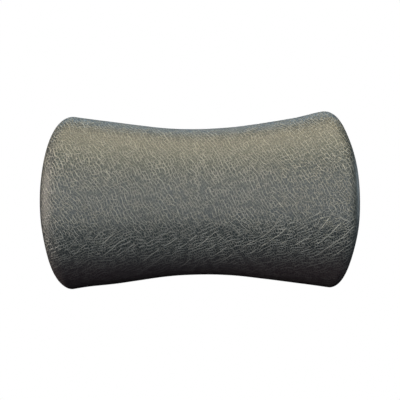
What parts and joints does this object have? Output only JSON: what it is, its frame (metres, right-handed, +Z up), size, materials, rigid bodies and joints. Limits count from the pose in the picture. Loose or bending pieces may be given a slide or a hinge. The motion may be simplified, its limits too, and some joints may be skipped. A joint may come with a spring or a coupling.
{
  "type": "chair headrest attachment",
  "caption": "Moulded leather-grained foam neck pad with a narrower waist, tilting on a bolted pivot and sliding up and down a flat bar behind it, set by a hand knob.",
  "frame": {"origin": "middle of the chair plate's rear face", "axes": "+X along the pad, to the right as seen from the front, +Y back towards the chair, +Z up"},
  "size_m": [0.28, 0.1251, 0.162],
  "materials": {
    "skin": "moulded polyurethane skin, leather grain, satin",
    "plywood": "sawn",
    "black_steel": "satin powder coat",
    "zinc": "zinc plated",
    "brass": "turned",
    "nylon": "moulded",
    "cover_plastic": "fine texture",
    "knob_plastic": "satin",
    "fibre": "matt"
  },
  "bodies": {
    "rail": {"chair_plate": "black_steel", "slide_bar": "black_steel", "spacer_upper": "nylon", "spacer_lower": "nylon", "rail_screw_upper": "zinc", "rail_screw_lower": "zinc"},
    "carriage": {"carriage_block": "nylon", "pivot_sleeve": "brass", "friction_washer_left": "fibre", "friction_washer_right": "fibre", "threaded_insert": "brass"},
    "headrest": {"head_pad": "skin", "insert_board": "plywood", "rear_cover": "cover_plastic", "pad_bracket": "black_steel", "pivot_bolt": "zinc", "pivot_lock_nut": "zinc", "disc_spring": "zinc", "t_nut_upper_left": "zinc", "t_nut_upper_right": "zinc", "t_nut_lower_left": "zinc", "t_nut_lower_right": "zinc", "cover_screw_upper_left": "zinc", "cover_screw_upper_right": "zinc", "cover_screw_lower_left": "zinc", "cover_screw_lower_right": "zinc", "bracket_screw_upper_left": "zinc", "bracket_screw_upper_right": "zinc", "bracket_screw_lower_left": "zinc", "bracket_screw_lower_right": "zinc"},
    "shoe": {"brake_shoe": "brass"},
    "knob": {"clamp_knob": "knob_plastic", "clamp_stud": "zinc", "knob_cap": "knob_plastic"}
  },
  "joints": [
    {"name": "height_slide", "type": "slide", "parent": "rail", "child": "carriage", "axis": [0, 0, 1], "range_m": [-0.02, 0.02]},
    {"name": "tilt", "type": "hinge", "parent": "carriage", "child": "headrest", "pos_m": [0, -0.0378, 0], "axis": [1, 0, 0], "range_deg": [-25, 25]},
    {"name": "shoe_travel", "type": "slide", "parent": "carriage", "child": "shoe", "axis": [1, 0, 0], "range_m": [0, 0.001]},
    {"name": "knob_turn", "type": "hinge", "parent": "shoe", "child": "knob", "pos_m": [0, -0.0149, 0], "axis": [1, 0, 0], "range_deg": [0, 360]}
  ],
  "couplings": [
    {"joint": "knob_turn", "follows": "shoe_travel", "rad_per_m": 6283.2}
  ]
}
